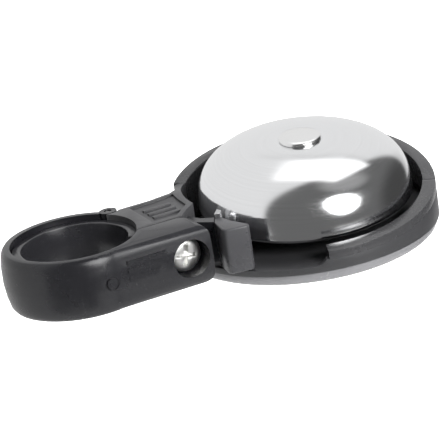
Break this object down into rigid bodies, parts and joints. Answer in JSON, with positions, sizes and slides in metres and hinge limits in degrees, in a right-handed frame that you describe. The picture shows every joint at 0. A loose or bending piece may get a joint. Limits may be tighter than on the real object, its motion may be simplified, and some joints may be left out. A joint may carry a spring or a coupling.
{
  "type": "bicycle bell",
  "caption": "Bicycle bell: aluminium gong in a leaning round black housing, flicked by a sprung finger lever, on a one-sided strap clamp with a liner and clamp screw",
  "frame": {"origin": "middle of the clamp bore, on its axis and half way up the clamp", "axes": "+Z along the handlebar through the clamp, up through the gong side; +X from the clamp to the bell; -Y the side of the lever and the clamp screw"},
  "size_m": [0.0965, 0.0568, 0.0261],
  "materials": {
    "black_plastic": "satin moulded black plastic with a fine mould texture",
    "band_plastic": "satin black plastic, slightly glossier top face",
    "pan_plastic": "smooth black plastic",
    "gong_metal": "fine-turned, softly polished",
    "liner_rubber": "smooth soft plastic",
    "plated_steel": "bright zinc plate",
    "sleeve_steel": "turned steel",
    "seat_nylon": "natural nylon",
    "hammer_steel": "bare steel"
  },
  "bodies": {
    "bracket": {"bracket_body": "black_plastic", "base_pan": "pan_plastic", "rear_rim": "band_plastic", "front_rim": "band_plastic", "gong": "gong_metal", "gong_bolt": "gong_metal", "gong_seat_washer": "seat_nylon", "gong_post": "sleeve_steel", "gong_lock_washer": "plated_steel", "gong_nut": "plated_steel", "clamp_strap": "black_plastic", "strap_hinge_pin": "sleeve_steel", "clamp_liner": "liner_rubber", "clamp_nut": "plated_steel"},
    "clamp_washer": {"clamp_washer": "plated_steel"},
    "clamp_screw": {"clamp_screw": "plated_steel"},
    "striker": {"striker_leaf": "black_plastic", "striker_lever": "black_plastic", "striker_hammer": "hammer_steel"}
  },
  "joints": [
    {"name": "clamp_screw_travel", "type": "slide", "parent": "bracket", "child": "clamp_washer", "axis": [0, -1, 0], "range_m": [0, 0.003]},
    {"name": "clamp_screw_turn", "type": "hinge", "parent": "clamp_washer", "child": "clamp_screw", "pos_m": [0.0189, -0.012, 0], "axis": [0, -1, 0], "range_deg": [0, 1543]},
    {"name": "striker_flick", "type": "hinge", "parent": "bracket", "child": "striker", "pos_m": [0.0231, -0.0044, 0], "axis": [0, 0, -1], "range_deg": [-6, 8.5], "stiffness_Nm_per_rad": 0.15, "deforming": ["striker_leaf"]}
  ],
  "couplings": [
    {"joint": "clamp_screw_turn", "follows": "clamp_screw_travel", "rad_per_m": 8976}
  ]
}
